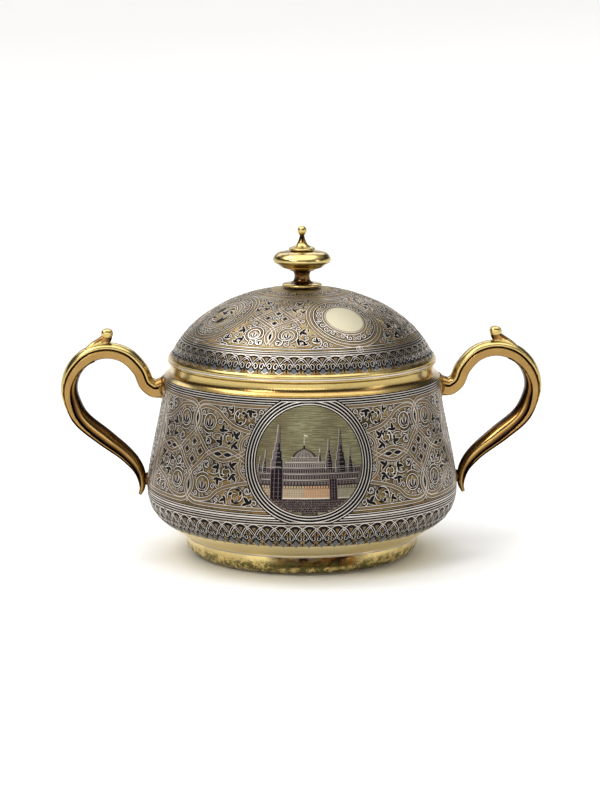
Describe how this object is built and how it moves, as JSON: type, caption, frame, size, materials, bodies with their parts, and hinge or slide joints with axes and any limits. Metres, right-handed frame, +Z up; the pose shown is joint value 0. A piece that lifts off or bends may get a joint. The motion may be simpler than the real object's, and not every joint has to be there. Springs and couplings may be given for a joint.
{
  "type": "covered sugar bowl",
  "caption": "Round gilt and niello silver sugar bowl on a rolled foot, with scroll handles and a domed lift-off cover with a turned finial.",
  "frame": {"origin": "centre of the foot ring's underside, on the surface the bowl stands on", "axes": "+X towards the right handle, +Y towards the back, +Z up through the finial"},
  "size_m": [0.18, 0.116, 0.123],
  "materials": {
    "niello_silver": "stippled gilt ground with silver strapwork inlaid in black niello",
    "gilt_silver": "polished gilding, slightly tarnished",
    "bare_silver": "ungilded silver, soft polish",
    "niello_black": "dark niello, satin",
    "satin_gilt": "matted pale gilding"
  },
  "bodies": {
    "bowl": {"body_shell": "niello_silver", "foot_ring": "gilt_silver", "neck_ring": "gilt_silver", "right_handle_scroll": "gilt_silver", "right_handle_spur": "gilt_silver", "right_handle_collar": "gilt_silver", "right_handle_pad": "gilt_silver", "left_handle_scroll": "gilt_silver", "left_handle_spur": "gilt_silver", "left_handle_collar": "gilt_silver", "left_handle_pad": "gilt_silver"},
    "lid": {"lid_dome": "niello_silver", "lid_rim": "gilt_silver", "lid_bezel": "gilt_silver", "finial_collar": "gilt_silver", "finial_stem": "gilt_silver", "finial_bun_lower": "gilt_silver", "finial_bun_upper": "gilt_silver", "finial_cap": "gilt_silver", "finial_spire": "gilt_silver", "finial_stud": "bare_silver", "finial_washer": "bare_silver", "finial_nut": "bare_silver"}
  },
  "joints": [
    {"name": "lid_lift", "type": "slide", "parent": "bowl", "child": "lid", "axis": [0, 0, 1], "range_m": [0, 0.06]}
  ]
}
